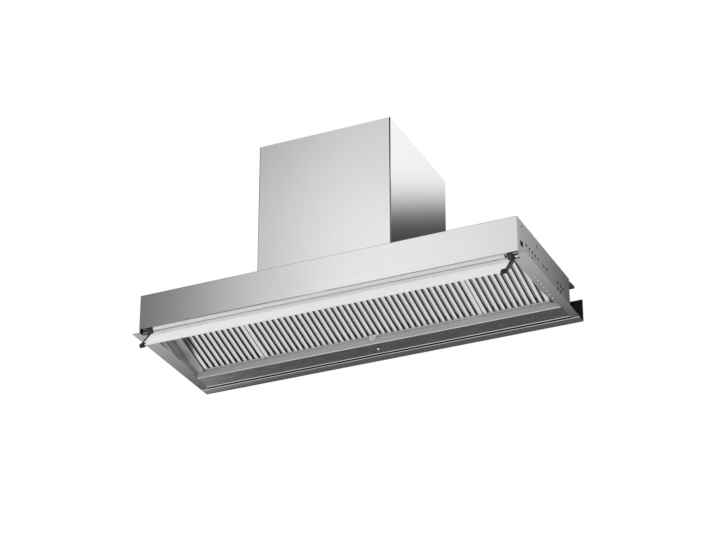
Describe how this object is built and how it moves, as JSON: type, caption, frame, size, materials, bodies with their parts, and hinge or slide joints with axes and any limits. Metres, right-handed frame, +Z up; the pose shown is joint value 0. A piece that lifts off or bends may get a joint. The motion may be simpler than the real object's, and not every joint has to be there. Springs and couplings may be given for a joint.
{
  "type": "wall canopy hood",
  "caption": "Stainless wall canopy hood: tapered filter recess with tilting baffle filters, folding frosted glass visor, centrifugal blower and chimney cover.",
  "frame": {"origin": "midway between the two wall screws, on the wall plane", "axes": "+X right as seen from the front, +Y into the wall, +Z up"},
  "size_m": [1.246, 0.5099, 0.6108],
  "materials": {
    "skin": "fine vertical brushing",
    "inner": "bright, half polished sheet",
    "side": "plain matt sheet",
    "galvanised": "zinc-coated sheet",
    "filter": "bright stainless",
    "black_metal": "satin black",
    "black_plastic": "matt",
    "rubber": "matt",
    "frosted_glass": "acid-etched on one face",
    "steel_bright": "bright",
    "motor": "satin",
    "board": "solder mask",
    "white_plastic": "matt"
  },
  "bodies": {
    "hood": {"fascia": "skin", "front_rim": "skin", "side_panel_left": "side", "side_panel_right": "side", "inner_liner_left": "inner", "inner_liner_right": "inner", "top_panel": "side", "rear_panel": "side", "rear_channel": "inner", "closing_strip": "skin", "corner_plates": "side", "wall_bracket_left": "black_metal", "wall_bracket_right": "black_metal", "bracket_bolts": "galvanised", "front_plenum": "inner", "filter_hook_bar": "galvanised", "filter_rail_left": "inner", "filter_rail_right": "inner", "chimney_cover": "skin", "chimney_foot_angles": "galvanised", "chimney_wall_bracket": "galvanised", "chimney_screws": "steel_bright", "blower_box": "galvanised", "blower_scroll": "galvanised", "inlet_rings": "galvanised", "motor": "motor", "motor_mount": "galvanised", "duct_collar": "galvanised", "flap_pin": "steel_bright", "control_box": "galvanised", "control_box_lid": "galvanised", "circuit_board": "board", "capacitor": "white_plastic", "terminal_block": "white_plastic", "cable_gland": "black_plastic", "visor_pivot_pins": "black_metal", "visor_stop_pins": "black_metal", "visor_stop_blocks": "rubber", "switch_body": "black_plastic"},
    "visor": {"visor_glass": "frosted_glass", "visor_arm_left": "black_plastic", "visor_arm_right": "black_plastic", "visor_clips": "black_plastic"},
    "filter_left": {"filter_frame_left": "filter", "lower_baffles_left": "filter", "upper_baffles_left": "filter"},
    "filter_centre": {"filter_frame_centre": "filter", "lower_baffles_centre": "filter", "upper_baffles_centre": "filter", "latch_spring": "steel_bright"},
    "filter_right": {"filter_frame_right": "filter", "lower_baffles_right": "filter", "upper_baffles_right": "filter"},
    "latch": {"filter_latch": "steel_bright"},
    "flap_left_body": {"flap_left": "black_plastic"},
    "flap_right_body": {"flap_right": "black_plastic"},
    "rotor": {"impeller": "galvanised", "impeller_blades": "galvanised", "motor_shaft": "steel_bright"},
    "button": {"power_button": "steel_bright"}
  },
  "joints": [
    {"name": "visor_hinge", "type": "hinge", "parent": "hood", "child": "visor", "pos_m": [0, -0.438, -0.0995], "axis": [1, 0, 0], "range_deg": [0, 131]},
    {"name": "filter_left_tilt", "type": "hinge", "parent": "hood", "child": "filter_left", "pos_m": [0, -0.39774, 0.00453], "axis": [-1, 0, 0], "range_deg": [0, 35]},
    {"name": "filter_centre_tilt", "type": "hinge", "parent": "hood", "child": "filter_centre", "pos_m": [0, -0.39774, 0.00453], "axis": [-1, 0, 0], "range_deg": [0, 35]},
    {"name": "filter_right_tilt", "type": "hinge", "parent": "hood", "child": "filter_right", "pos_m": [0, -0.39774, 0.00453], "axis": [-1, 0, 0], "range_deg": [0, 35]},
    {"name": "latch_slide", "type": "slide", "parent": "filter_centre", "child": "latch", "axis": [0, -0.9578, 0.2873], "range_m": [0, 0.004], "stiffness_N_per_m": 200, "springref_m": -0.002, "deforming": ["latch_spring"]},
    {"name": "flap_left_swing", "type": "hinge", "parent": "hood", "child": "flap_left_body", "pos_m": [0, -0.29027, 0.331], "axis": [0, 1, 0], "range_deg": [0, 75]},
    {"name": "flap_right_swing", "type": "hinge", "parent": "hood", "child": "flap_right_body", "pos_m": [0, -0.29027, 0.331], "axis": [0, -1, 0], "range_deg": [0, 75]},
    {"name": "rotor_spin", "type": "hinge", "parent": "hood", "child": "rotor", "pos_m": [0, -0.2365, 0.163], "axis": [1, 0, 0], "continuous": true},
    {"name": "button_press", "type": "slide", "parent": "hood", "child": "button", "axis": [0, 0, 1], "range_m": [0, 0.0015], "stiffness_N_per_m": 400, "springref_m": -0.001}
  ],
  "couplings": [
    {"joint": "flap_right_swing", "follows": "flap_left_swing", "ratio": 1}
  ]
}
